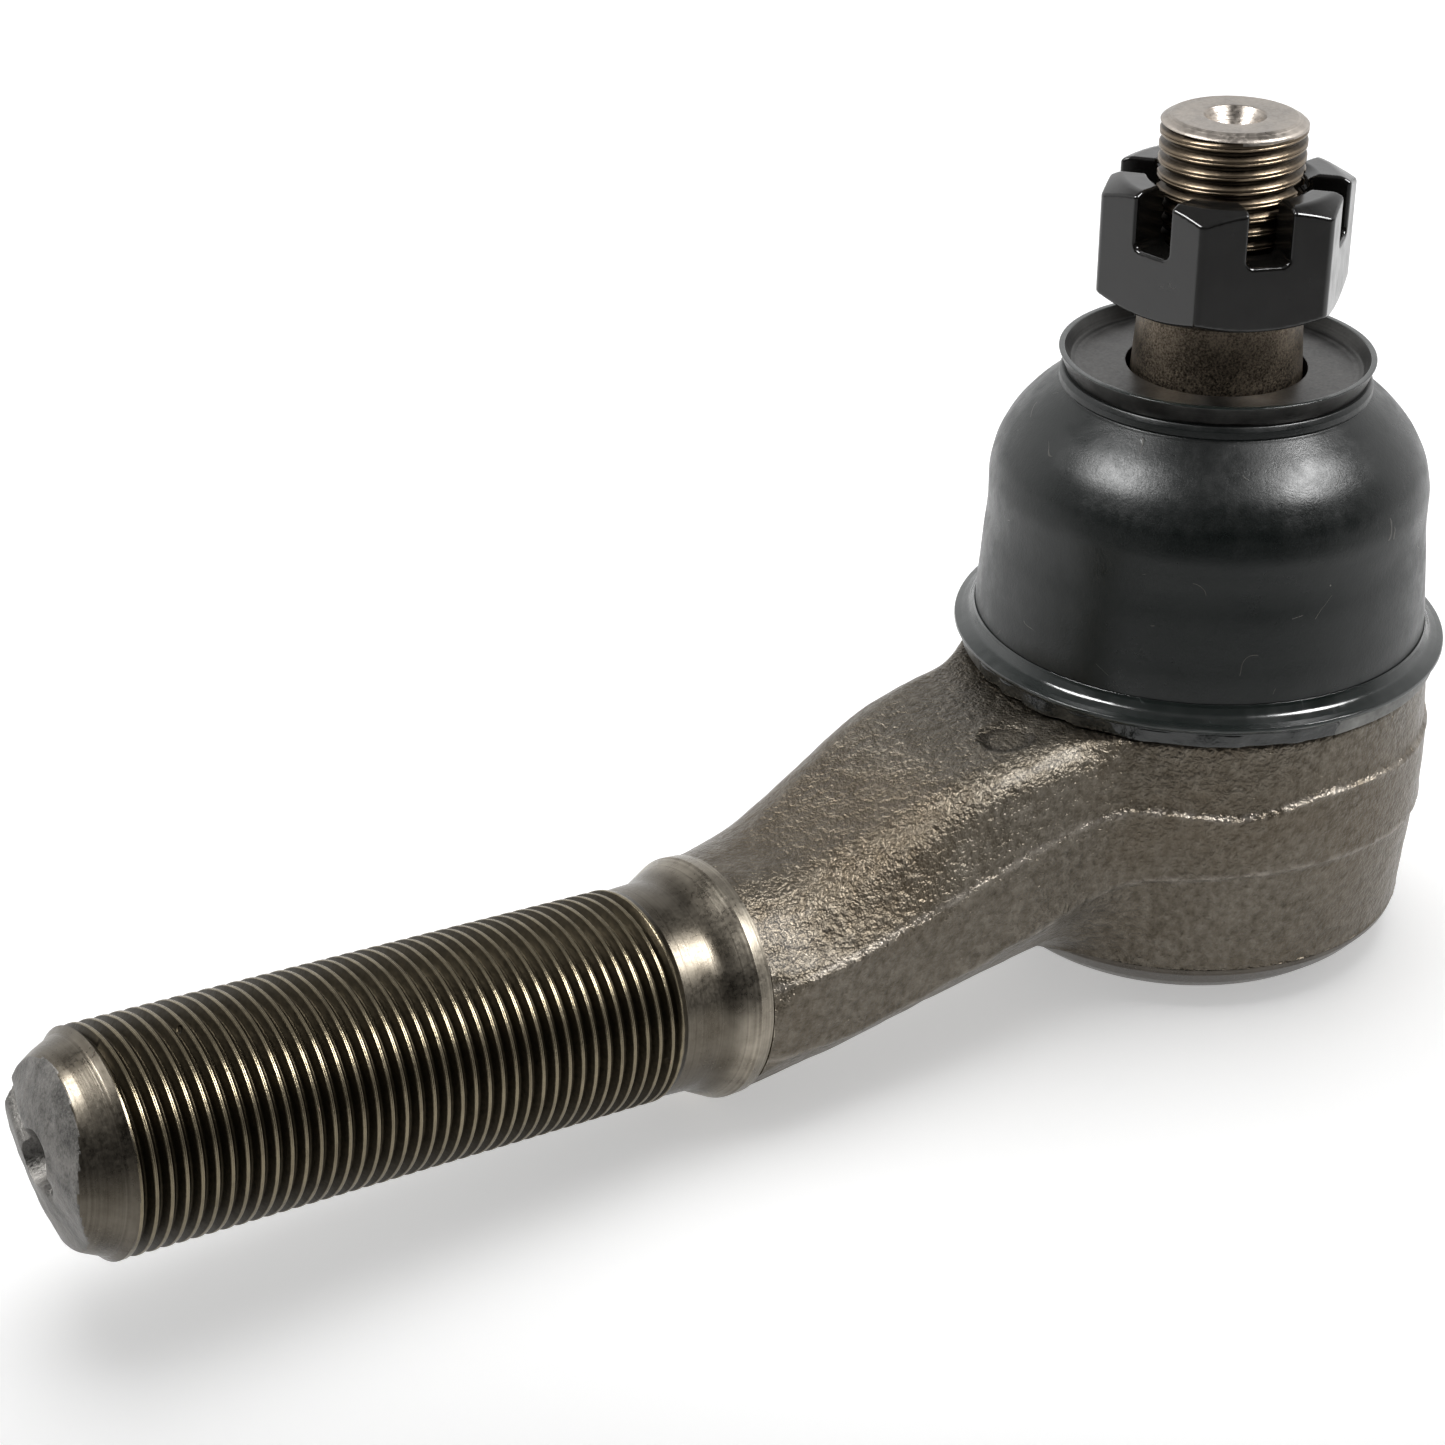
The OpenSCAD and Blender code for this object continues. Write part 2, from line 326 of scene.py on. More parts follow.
class Shader:
    """A node material with a Principled shader, and short calls for the nodes used here."""

    def __init__(self, name):
        self.material = bpy.data.materials.new(name)
        self.material.use_nodes = True
        self.tree = self.material.node_tree
        self.base = self.tree.nodes["Principled BSDF"]

    def node(self, kind, inputs=None, **settings):
        made = self.tree.nodes.new("ShaderNode" + kind)
        for key, value in settings.items():
            setattr(made, key, value)
        for key, value in (inputs or {}).items():
            self.put(made.inputs[key], value)
        return made

    def put(self, socket, value):
        if isinstance(value, bpy.types.NodeSocket):
            self.tree.links.new(value, socket)
        else:
            socket.default_value = value

    def set(self, **inputs):
        for key, value in inputs.items():
            self.put(self.base.inputs[key.replace("_", " ")], value)
        return self

    def place(self):
        """Position on the piece, in metres."""
        return self.node("TexCoord").outputs["Object"]

    def rest(self):
        """Position stored in the piece's rest attribute, in metres."""
        return self.node("Attribute", attribute_name="rest").outputs["Vector"]

    def math(self, operation, a, b=0.0, clamp=False):
        return self.node("Math", {0: a, 1: b}, operation=operation, use_clamp=clamp).outputs[0]

    def noise(self, place, size, detail=2.0, rough=0.5, stretch=None):
        """Noise in 0..1 with bumps about size millimetres apart."""
        if stretch:
            place = self.node("VectorMath", {0: place, 1: stretch}, operation="MULTIPLY").outputs[0]
        return self.node("TexNoise", {"Vector": place, "Scale": 1000 / size, "Detail": detail,
                                      "Roughness": rough}).outputs["Fac"]

    def step(self, value, low, high, to_low=0.0, to_high=1.0):
        return self.node("MapRange", {0: value, 1: low, 2: high, 3: to_low, 4: to_high},
                         interpolation_type="SMOOTHSTEP").outputs[0]

    def ramp(self, value, *stops):
        """Colour ramp from (position, (r, g, b)) stops."""
        made = self.node("ValToRGB", {"Fac": value})
        ramp = made.color_ramp
        while len(ramp.elements) < len(stops):
            ramp.elements.new(0.5)
        for element, (position, colour) in zip(ramp.elements, stops):
            element.position, element.color = position, (*colour, 1)
        return made.outputs["Color"]

    def mix(self, share, a, b):
        made = self.node("Mix", data_type="RGBA")
        for socket, value in zip((made.inputs[0], made.inputs[6], made.inputs[7]), (share, a, b)):
            self.put(socket, (*value, 1) if isinstance(value, tuple) else value)
        return made.outputs[2]

    def bump(self, *layers):
        """Stacks (height, depth in millimetres) layers into one normal."""
        normal = None
        for height, depth in layers:
            inputs = {"Height": height, "Distance": depth * MM, "Strength": 1.0}
            if normal is not None:
                inputs["Normal"] = normal
            normal = self.node("Bump", inputs).outputs[0]
        return self.set(Normal=normal)

    def about_shank(self):
        """(distance along the shank, distance from its axis), in millimetres."""
        origin = tuple(SHANK_FROM * MM)
        axis = tuple(SHANK_AXIS)
        rel = self.node("VectorMath", {0: self.place(), 1: origin}, operation="SUBTRACT").outputs[0]
        along = self.node("VectorMath", {0: rel, 1: axis}, operation="DOT_PRODUCT").outputs["Value"]
        part = self.node("VectorMath", {0: axis, "Scale": along}, operation="SCALE").outputs[0]
        off = self.node("VectorMath", {0: rel, 1: part}, operation="SUBTRACT").outputs[0]
        length = self.node("VectorMath", {0: off}, operation="LENGTH").outputs["Value"]
        return self.math("MULTIPLY", along, 1000.0), self.math("MULTIPLY", length, 1000.0)

    def about_stud(self):
        """(height, distance from the stud's axis), in millimetres."""
        split = self.node("SeparateXYZ", {0: self.place()}).outputs
        flat = self.node("CombineXYZ", {0: split[0], 1: split[1]}).outputs[0]
        length = self.node("VectorMath", {0: flat}, operation="LENGTH").outputs["Value"]
        return self.math("MULTIPLY", split[2], 1000.0), self.math("MULTIPLY", length, 1000.0)

    def rings(self, along, size, detail=3.0):
        """Turning marks: noise that changes only along one direction, size millimetres apart."""
        return self.node("TexNoise", {"W": self.math("DIVIDE", along, size), "Scale": 1.0,
                                      "Detail": detail},
                         noise_dimensions="1D").outputs["Fac"]


def forged_skin():
    """Shot-blasted scale over a forging, lightly oiled, with a painted highlight along the flash band's
    edges.
    """
    s = Shader("forged_skin")
    p = s.place()
    pebble, grain = s.noise(p, 0.95, 2.5, 0.6), s.noise(p, 0.38, 2.0, 0.55)
    patch, stain = s.noise(p, 7.0, 4.0, 0.65), s.noise(p, 26.0, 2.0, 0.5)
    tone = s.math("ADD", s.math("MULTIPLY", patch, 0.25), s.math("MULTIPLY", pebble, 0.75))
    colour = s.ramp(tone, (0.34, (0.082, 0.069, 0.051)), (0.50, (0.128, 0.111, 0.087)),
                    (0.66, (0.178, 0.158, 0.128)))
    colour = s.mix(s.step(stain, 0.42, 0.66, 0.0, 0.45), colour, (0.105, 0.080, 0.052))
    # The burr attribute lightens the trimmed edges of the flash band: a painted highlight over the real
    # burr.
    burr_and_highlight = s.node("Attribute", attribute_name="burr_and_highlight").outputs["Fac"]
    colour = s.mix(s.math("MULTIPLY", burr_and_highlight, s.step(s.noise(p, 2.2, 4.0, 0.65), 0.36, 0.62, 0.08, 0.80)),
                   colour,
                   (0.33, 0.30, 0.26))
    away = s.node("VectorMath", {0: p, 1: tuple(DENT * MM)}, operation="DISTANCE").outputs["Value"]
    ragged = s.math("ADD", away, s.math("MULTIPLY", s.math("SUBTRACT", pebble, 0.5), 0.0016))
    ring = s.math("ABSOLUTE", s.math("SUBTRACT", ragged, 0.0023))
    colour = s.mix(s.step(ring, 0.0002, 0.0009, 0.62, 0.0), colour, (0.020, 0.017, 0.013))
    rough = s.step(s.math("ADD", s.math("MULTIPLY", patch, 0.5), s.math("MULTIPLY", grain, 0.5)), 0.3, 0.7,
                   0.29, 0.47)
    s.set(Base_Color=colour, Metallic=0.94, Roughness=rough, Coat_Weight=0.10, Coat_Roughness=0.2)
    s.bump((s.noise(p, 4.5, 2.0, 0.5), 0.10), (pebble, 0.30), (grain, 0.20))
    return s.material


def turned_skin(name, low, high, along, rough=(0.24, 0.40), marks=0.012, dark=None):
    """Turned steel, oiled and slightly browned; along is the direction that the tool fed in, and dark is the
    (start, end, share) of a stretch over which the colour turns darker, staying darker past its end."""
    s = Shader(name)
    p = s.place()
    feed = (s.about_shank() if along == "shank" else s.about_stud())[0]
    cloud, fine = s.noise(p, 3.5, 4.0, 0.65), s.noise(p, 0.35, 3.0, 0.6)
    rings = s.rings(feed, 0.22)
    tone = s.math("ADD", s.math("MULTIPLY", cloud, 0.7), s.math("MULTIPLY", rings, 0.3))
    colour = s.ramp(tone, (0.32, low), (0.68, high))
    if dark:
        colour = s.mix(s.step(feed, dark[0], dark[1], 0.0, dark[2]), colour, (0.022, 0.017, 0.011))
    s.set(Base_Color=colour, Metallic=1.0,
          Roughness=s.step(s.math("ADD", s.math("MULTIPLY", cloud, 0.5), s.math("MULTIPLY", fine, 0.5)),
                           0.32, 0.68, *rough))
    s.bump((rings, marks), (fine, 0.006), (s.noise(p, 2.4, 2.0, 0.5), 0.02))
    return s.material


def thread_skin(name, about, crest_r, crest, dark, bright, rough_dark=0.42, rough_bright=0.26):
    """Rolled thread: dark oily flanks and roots, crests rubbed bright."""
    s = Shader(name)
    p = s.place()
    along, radius = s.about_shank() if about == "shank" else s.about_stud()
    wear = s.noise(p, 2.2, 3.0, 0.6)
    edge = s.math("ADD", radius, s.math("MULTIPLY", s.math("SUBTRACT", wear, 0.5), 0.10))
    crest = s.step(edge, crest_r - crest, crest_r - 0.02)
    dirt = s.noise(p, 0.5, 3.0, 0.6)
    cells = s.node("TexVoronoi", {"Vector": p, "Scale": 1000 / 4.5})
    nick = s.math("MULTIPLY", s.step(cells.outputs["Distance"], 0.05, 0.10, 1.0, 0.0),
                  s.step(s.node("SeparateColor", {0: cells.outputs["Color"]}).outputs[0], 0.78, 0.80))
    colour = s.mix(crest, s.ramp(dirt, (0.3, tuple(c * 0.6 for c in dark)), (0.7, dark)),
                   s.ramp(wear, (0.3, tuple(c * 0.72 for c in bright)), (0.7, bright)))
    colour = s.mix(s.math("MULTIPLY", nick, crest), colour, (0.50, 0.36, 0.27))
    s.set(Base_Color=colour, Metallic=0.95,
          Roughness=s.step(s.math("ADD", crest, s.math("MULTIPLY", dirt, 0.3)), 0.1, 1.1, rough_dark,
                           rough_bright))
    s.bump((s.noise(p, 0.3, 3.0, 0.6), 0.012), (s.noise(p, 1.3, 3.0, 0.6), 0.05), (nick, -0.06))
    return s.material


def sheared_skin():
    """Sheared bar end: grey, coarse and dull."""
    s = Shader("sheared_end")
    p = s.place()
    grain, patch = s.noise(p, 0.32, 3.0, 0.7), s.noise(p, 2.4, 3.0, 0.6)
    tone = s.math("ADD", s.math("MULTIPLY", grain, 0.6), s.math("MULTIPLY", patch, 0.4))
    s.set(Base_Color=s.ramp(tone, (0.36, (0.060, 0.058, 0.054)), (0.64, (0.235, 0.225, 0.210))),
          Metallic=0.9,
          Roughness=s.step(grain, 0.3, 0.7, 0.36, 0.56))
    s.bump((patch, 0.12), (grain, 0.09))
    return s.material


def rubber_skin():
    """Moulded boot rubber: black with a green cast, satin, with specks of dust and fine lint."""
    s = Shader("boot_rubber")
    p = s.rest()
    bloom, fine, mottle = s.noise(p, 14.0, 3.0, 0.6), s.noise(p, 0.28, 3.0, 0.65), s.noise(p, 2.2, 4.0, 0.7)
    base = s.ramp(bloom, (0.35, (0.0070, 0.0105, 0.0098)), (0.70, (0.0112, 0.0150, 0.0140)))
    cells = s.node("TexVoronoi", {"Vector": p, "Scale": 1000 / 3.4, "Randomness": 1.0})
    gate = s.node("SeparateColor", {0: cells.outputs["Color"]}).outputs[0]
    speck = s.math("MULTIPLY", s.step(cells.outputs["Distance"], 0.022, 0.034, 1.0, 0.0),
                   s.step(gate, 0.80, 0.82))
    strand = s.math("ABSOLUTE", s.math("SUBTRACT", s.noise(p, 6.0, 1.0, 0.4), 0.5))
    lint = s.math("MULTIPLY", s.step(strand, 0.0015, 0.004, 1.0, 0.0),
                  s.step(s.noise(p, 3.4, 1.0, 0.4), 0.66, 0.68))
    dust = s.math("MAXIMUM", speck, s.math("MULTIPLY", lint, 0.55))
    s.set(Base_Color=s.mix(dust, base, (0.16, 0.15, 0.13)), Specular_IOR_Level=0.40,
          Roughness=s.math("ADD", s.step(s.math("ADD", s.math("MULTIPLY", bloom, 0.5),
                                                s.math("MULTIPLY", mottle, 0.5)),
                                         0.38, 0.62, 0.24, 0.38), s.math("MULTIPLY", fine, 0.08)))
    s.bump((s.noise(p, 7.0, 2.0, 0.5), 0.05), (mottle, 0.03), (fine, 0.016), (dust, 0.03))
    return s.material


def enamel_skin(name, colour, rough=(0.16, 0.30), spec=0.5, ripple=0.03, grain=0.004):
    """Black enamel or lacquered steel with a few pale scuffs."""
    s = Shader(name)
    p = s.place()
    flow, fine = s.noise(p, 3.2, 2.0, 0.5), s.noise(p, 0.3, 3.0, 0.6)
    scuff = s.noise(p, 2.6, 4.0, 0.7, stretch=(3.0, 0.5, 1.0))
    scuffed = s.step(scuff, 0.66, 0.74, 0.0, 0.5)
    s.set(Base_Color=s.mix(scuffed, colour, tuple(min(1.0, c * 4 + 0.02) for c in colour)),
          Specular_IOR_Level=spec,
          Roughness=s.step(s.math("ADD", s.math("MULTIPLY", flow, 0.5), s.math("MULTIPLY", scuff, 0.5)),
                           0.3, 0.7, *rough))
    s.bump((flow, ripple), (fine, grain))
    return s.material


def skirt_skin():
    """The ring's turned skirt, with glossy sealant squeezed out over part of it."""
    s = Shader("ring_skirt")
    p = s.place()
    height, _ = s.about_stud()
    cloud, fine, lumps = s.noise(p, 3.5, 4.0, 0.65), s.noise(p, 0.35, 3.0, 0.6), s.noise(p, 1.3, 3.0, 0.55)
    cover = s.node("Attribute", attribute_name="smear").outputs["Fac"]
    edge = s.math("ADD", cover, s.math("MULTIPLY", s.math("SUBTRACT", s.noise(p, 2.6, 4.0, 0.6), 0.5), 1.3))
    wet = s.step(edge, 0.42, 0.52)
    s.set(Base_Color=s.mix(wet, s.ramp(cloud, (0.32, (0.105, 0.105, 0.100)), (0.68, (0.22, 0.22, 0.21))),
                           (0.0125, 0.0155, 0.0145)),
          Metallic=s.step(wet, 0.0, 1.0, 1.0, 0.0), Specular_IOR_Level=0.6,
          Roughness=s.math("ADD", s.math("MULTIPLY", wet, -0.30), s.step(fine, 0.3, 0.7, 0.40, 0.55)))
    s.bump((wet, 0.12), (s.math("MULTIPLY", lumps, wet), 0.22), (s.rings(height, 0.22), 0.01))
    return s.material


def bronze_skin():
    """The stud's taper: coarse brown phosphate that sparkles."""
    s = Shader("taper_phosphate")
    p = s.place()
    grain, patch = s.noise(p, 0.22, 3.0, 0.7), s.noise(p, 2.8, 3.0, 0.6)
    tone = s.math("ADD", s.math("MULTIPLY", grain, 0.75), s.math("MULTIPLY", patch, 0.25))
    s.set(Base_Color=s.ramp(tone, (0.40, (0.050, 0.040, 0.029)), (0.62, (0.285, 0.235, 0.178))),
          Metallic=0.95,
          Roughness=s.step(grain, 0.3, 0.7, 0.28, 0.52))
    s.bump((grain, 0.045), (patch, 0.03))
    return s.material


def nylon_skin():
    s = Shader("nylon")
    p = s.place()
    s.set(Base_Color=s.ramp(s.noise(p, 3.0, 3.0), (0.35, (0.62, 0.58, 0.47)), (0.65, (0.72, 0.69, 0.60))),
          Roughness=s.step(s.noise(p, 0.6), 0.3, 0.7, 0.38, 0.52), Subsurface_Weight=0.1)
    s.bump((s.noise(p, 0.5), 0.01))
    return s.material


forged = forged_skin()
machined = turned_skin("turned_steel", (0.140, 0.122, 0.096), (0.350, 0.315, 0.258), "shank",
                       dark=(64.6, 66.4, 0.58))
eye_turned = turned_skin("turned_base", (0.070, 0.062, 0.052), (0.150, 0.134, 0.114), "stud")
thread_steel = thread_skin("shank_thread", "shank", SHANK_R, 0.10, (0.036, 0.029, 0.018),
                           (0.235, 0.20, 0.135), 0.38, 0.27)
sheared = sheared_skin()
stud_thread = thread_skin("stud_thread", "stud", STUD_R, 0.22, (0.055, 0.042, 0.029), (0.205, 0.160, 0.112),
                          0.40, 0.29)
stud_top = turned_skin("stud_tip", (0.17, 0.150, 0.130), (0.47, 0.425, 0.38), "stud", (0.26, 0.50), 0.04)
ball_steel = turned_skin("ball", (0.42, 0.41, 0.40), (0.55, 0.54, 0.53), "stud", (0.10, 0.18), 0.002)
taper = bronze_skin()
rubber = rubber_skin()
nut_black = enamel_skin("nut_enamel", (0.0110, 0.0105, 0.0095), (0.10, 0.24), 0.56)
ring_black = enamel_skin("ring_enamel", (0.0210, 0.0280, 0.0260), (0.10, 0.26), 0.75, 0.05)
skirt_grey = skirt_skin()
cup_satin = turned_skin("cup_satin", (0.042, 0.041, 0.040), (0.150, 0.147, 0.142), "stud", (0.28, 0.46),
                        0.006)
# The cup's walls get a darker copy of the floor's satin: painted shade on the same pressed steel.
cup_wall_shaded = turned_skin("cup_wall_shaded", (0.041, 0.041, 0.039), (0.085, 0.083, 0.079), "stud", (0.30, 0.42),
                       0.004)
spring_steel = turned_skin("spring", (0.30, 0.31, 0.33), (0.45, 0.46, 0.48), "stud")
nylon = nylon_skin()


# ---- Housing ----

# Stations along the forging: x, then the height of each edge of the trimmed flash band
BAND_TOP = [(-66, -46.9), (-62.8, -46.5), (-54.6, -45.6), (-47, -44.3), (-37.2, -42.0), (-27, -39.8),
            (-18, -39.1),
            (-12.8, -39.5), (-3.6, -38.0), (5, -38.1), (13, -38.4), (24, -37.9)]
BAND_FOOT = [(-66, -54.9), (-62.8, -54.7), (-53, -54.5), (-40, -52.4), (-27, -49.5), (-17.4, -47.3),
             (-6, -46.5),
             (5, -46.7), (13, -47.2), (24, -47.0)]
ARM_SIDE = [(-66, 11.65), (-62.8, 11.7), (-54.6, 12.1), (-44.3, 12.4), (-37.2, 12.7), (-29, 13.0),
            (0, 13.4)]
ARM_TOP = [(-66, -39.3), (-62.8, -39.2), (-54.6, -39.15), (-44.3, -36.15), (-37.2, -33.3), (-29, -32.0),
           (-24, -31.95)]
ARM_FLAT = [(-66, 4.8), (-62.8, 4.8), (-54.6, 6.6), (-44.3, 9.2), (-37.2, 10.3), (-29, 11.4), (-14, 12.4)]
ARM_FOOT = [(-66, -61.4), (-62.8, -61.2), (-54.6, -59.9), (-44.3, -58.4), (-37.2, -57.8), (-29, -57.3),
            (-14, -57.0)]
ARM_FOOT_FLAT = [(-66, 6.0), (-54.6, 7.0), (-14, 8.0)]


def slope_side(across, z, edge, edge_z, flat, flat_z):
    """Distance past the drafted side that runs from (edge, edge_z) to (flat, flat_z)."""
    dx, dz = flat - edge, flat_z - edge_z
    sign = np.sign(dz)
    return ((across - edge) * dz * sign + (z - edge_z) * -dx * sign) / np.hypot(dx, dz)


def forging(p):
    """The forged eye and arm, outside only, as a distance."""
    x, y, z = p[..., 0], np.abs(p[..., 1]), p[..., 2]
    r = np.hypot(x, y)
    top, foot = curve(x, BAND_TOP), curve(x, BAND_FOOT)
    wave = 0.25 * noise(np.stack([x, p[..., 1], np.zeros_like(x)], -1), 3.5, 3)
    top, foot = top + wave, foot + 0.8 * wave
    side = curve(x, ARM_SIDE)
    burr_and_highlight = 0.09 * np.exp(-((z - top + 0.35) / 0.35)**2) + 0.08 * np.exp(-((z - foot - 0.35) / 0.35)**2)
    band = 0.34 * smooth((top - z) / 0.4) * smooth((z - foot) / 0.4) + burr_and_highlight
    arm = round_max(y - side - band, slope_side(y, z, side, top, curve(x, ARM_FLAT), curve(x, ARM_TOP)),
                    0.35)
    arm = round_max(arm, slope_side(y, z, side, foot, curve(x, ARM_FOOT_FLAT), curve(x, ARM_FOOT)), 0.35)
    arm = round_max(arm, z - curve(x, ARM_TOP), 2.8)
    arm = np.maximum(round_max(arm, curve(x, ARM_FOOT) - z, 3.0), x)
    draft = 0.34 + 0.045 * np.maximum(z - top, 0) + 0.085 * np.maximum(foot - z, 0)
    eye = r - 24.32 + np.where((z > top) | (z < foot), draft, 0.34 *
                               (1 - smooth((top - z) / 0.4) * smooth((z - foot) / 0.4)))
    eye = round_max(eye - burr_and_highlight, z + 31.95, 0.7)
    eye = np.maximum(eye, EYE_CUT - z)
    whole = np.maximum(smooth_min(arm, eye, 5.5), z + 31.95)
    whole = np.where(x > -34, np.maximum(whole, EYE_CUT - z), whole)
    along, off = shank_place(p)
    whole = np.maximum(whole, off - 11.95 - 0.4 * np.maximum(62.0 - along, 0))
    return np.maximum(whole, along - 64.5)


def make_housing():
    verts, faces = surface_net(forging, (-67.2, -25.3, -63.4), (25.3, 25.3, -30.6), 0.42)
    slope = gradient(forging, verts, 0.1)
    slope /= np.linalg.norm(slope, axis=1)[:, None]
    skin = 0.045 * noise(verts, 1.5, 1) + 0.06 * noise(verts, 5.5, 2) - 0.08
    free = smooth((-32.2 - verts[:, 2]) / 0.5) * smooth((verts[:, 2] - EYE_CUT) / 0.4 + (verts[:, 0] < -30))
    away = np.linalg.norm(verts - DENT, axis=1)
    skin = skin * free - 0.32 * smooth((2.9 - away) / 0.9) + 0.07 * np.exp(-((away - 3.0) / 0.35)**2)
    verts += slope * skin[:, None]
    housing = mesh_piece("housing_forging", verts, faces)

    tool = revolve(outline([(0, FORGING_END), (30, FORGING_END), (30, 80), (0, 80)], 50), 96)
    combine(housing, on_shank(tool[0]), tool[1], "DIFFERENCE")

    blank = outline([
        (0, 50), (9, 50), (9, 60.9), (10.9, 61.9), (11.8, 62.35, 0.1), (11.86, 63.75, 0.25),
        (11.2, 65.1, 2.2),
        (10.28, 67.0, 4.0), (10.1, 70.9, 0.3), (SHANK_R, THREAD_START)], 0.7)
    tip = outline([
        (SHANK_R, THREAD_END), (9.8, 127.15, 0.4), (9.0, 128.9, 3.0), (7.35, 131.55), (5.0, 131.9),
        (2.95, 132.0, 0.3),
        (0.95, 128.3), (0.9, 127.6), (0, 127.2)], 0.3)
    groove = [(0.0, 0.022), (0.06, 0.0), (0.11, 0.018), (0.385, 0.50), (0.44, 0.55), (0.5, 0.565),
              (0.56, 0.55),
              (0.615, 0.50), (0.89, 0.018), (0.94, 0.0)]
    local, faces = revolve(np.vstack([blank, tip]), 144, thread=(len(blank) - 1, SHANK_PITCH, groove, 0.8))
    local[:, 2] = np.minimum(local[:, 2], shear_level(local))
    combine(housing, on_shank(local), faces, "UNION")

    base = revolve(outline([
        (0, -50), (20, -50), (20, -57.4), (22.75, -57.85, 0.1), (22.98, -58.15, 0.15), (22.8, -58.8, 0.8),
        (21.3, -60.6, 3.0), (19.4, -62.2, 3.0), (17.4, BOTTOM_Z, 0.6), (16.4, BOTTOM_Z, 0.35),
        (16.2, -62.2),
        (16.2, -55), (0, -55)], 0.8), 192)
    combine(housing, *base, "UNION")
    spigot = revolve(outline([(0, -36), (20.8, -36), (20.8, RING_Z + 1.5, 0.4), (0, RING_Z + 1.5)], 2.0),
                     96)
    combine(housing, *spigot, "UNION")
    bores = revolve(outline([
        (0, -70), (16.2, -70), (16.2, -62.4), (17, -62.4), (17, -60.1), (15.4, -60.1), (15.4, -35.6),
        (12.2, -35.6),
        (17.2, -26), (0, -26)], 3.0), 128)
    combine(housing, *bores, "DIFFERENCE")

    centre = face_centres(housing)
    along, off = shank_place(centre)
    r = np.hypot(centre[:, 0], centre[:, 1])
    choice = np.zeros(len(centre), int)
    choice[(centre[:, 2] < EYE_CUT + 0.02) & (r < 23.2) | (r < 20.9) & (np.abs(centre[:, 1]) < 21) &
           (centre[:, 0] > -21)] = 2
    choice[along > FORGING_END - 0.05] = 1
    choice[(along > THREAD_START - 0.6) & (along < THREAD_END - 0.1)] = 3
    rel = centre[along > 128] - SHANK_FROM
    face = np.stack([rel @ np.array([math.sin(SHANK_RISE), 0, math.cos(SHANK_RISE)]), rel[:, 1],
                     rel @ SHANK_AXIS], -1)
    choice[along > 128] = np.where((face[:, 2] > shear_level(face) - 0.06) |
                                   (np.hypot(face[:, 0], face[:, 1]) < 2.7), 4, 1)
    at = vertex_places(housing)
    # Marks the two edges of the flash band, where the skin gets a painted highlight.
    burr_and_highlight = housing.data.attributes.new("burr_and_highlight", "FLOAT", "POINT")
    line = [np.exp(-((at[:, 2] - curve(at[:, 0], edge) - shift) / 0.3)**2)
            for edge, shift in ((BAND_TOP, -0.3), (BAND_FOOT, 0.3))]
    burr_and_highlight.data.foreach_set("value", (line[0] + line[1]).astype(np.float32))
    return finish_piece(housing, "root", "housing",
                        [forged, machined, eye_turned, thread_steel, sheared], choice)


def shear_level(p):
    """Height of the shank's sheared end face at points (up, back, along): a rough dome, cut unevenly."""
    up, back = p[:, 0], p[:, 1]
    r = np.hypot(up, back)
    rim = curve(np.degrees(np.arctan2(back, up)), [
        (-225, 129.0), (-180, 129.2), (-135, 129.5), (-90, 130.8), (-45, 130.0), (0, 129.6), (45, 129.9),
        (90, 130.3),
        (135, 129.0), (180, 129.2), (225, 129.5)])
    level = 131.6 + (rim - 131.6) * (r / 8.6)**1.7
    aside = 0.95 * up - 0.31 * back
    valley = -0.85 * np.exp(-(aside / 0.75)**2) * smooth((0.31 * up + 0.95 * back) / 2.5)
    notch = -0.8 * np.exp(-((up + 1.7)**2 + (back + 2.1)**2) / 0.6)
    return level + valley + notch + 0.10 * noise(p * [1, 1, 0], 2.2, 5) + 0.05 * noise(p * [1, 1, 0], 0.8,
                                                                                       6)


# ---- Boot, ring and cup ----

BOOT_OUTSIDE = [(-30.05, 22.85), (-26.8, 22.85), (-25.5, 22.77), (-24.3, 22.65), (-21.8, 22.45),
                (-19.3, 22.25),
                (-18.0, 22.1), (-16.8, 22.02), (-14.8, 22.0), (-13.0, 21.97), (-11.8, 21.75), (-10.5, 21.4),
                (-9.3, 20.85), (-8.0, 20.1), (-6.8, 19.15), (-5.5, 17.9), (-4.3, 16.45)]


def boot_side(low, high):
    z = np.linspace(low, high, max(2, round((high - low) / 0.3) + 1))
    return np.stack([curve(z, BOOT_OUTSIDE), z], -1)


def make_boot():
    lower_inside = outline([(20.05, SEAM_Z), (20.4, -20), (20.87, -25.5, 3), (20.87, -30.05)], 0.5)
    lower = np.vstack([boot_side(-30.05, SEAM_Z), lower_inside])
    upper_top = outline([
        (16.45, -4.3), (15.6, -3.62, 0.2), (15.3, -3.42, 0.12), (15.5, -3.2, 0.12), (15.46, -2.55, 0.3),
        (15.2, -2.05, 0.2), (14.7, -2.05), (14.7, -2.9), (8.99, -2.9), (9.04, -4.1), (13, -4.1, 1.5),
        (15.6, -6.2, 3),
        (18.75, -10.4, 4), (20.0, -13.2, 2), (20.05, SEAM_Z)], 0.35)
    upper = np.vstack([boot_side(SEAM_Z, -4.3)[:-1], upper_top])
    for name, profile, bodies, start, end in (
            ("boot_lower", lower, ("root", "boot"), -28.0, SEAM_Z),
            ("boot_upper", upper, ("boot", "boot_top"), SEAM_Z, -4.6)):
        verts, faces = revolve(profile, 224, closed=True)
        piece = mesh_piece(name, verts, faces, 35)
        rest = piece.data.attributes.new("rest", "FLOAT_VECTOR", "POINT")
        rest.data.foreach_set("vector", (verts * MM).astype(np.float32).ravel())
        piece.data.materials.append(rubber)
        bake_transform(piece)
        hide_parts("dust_boot")


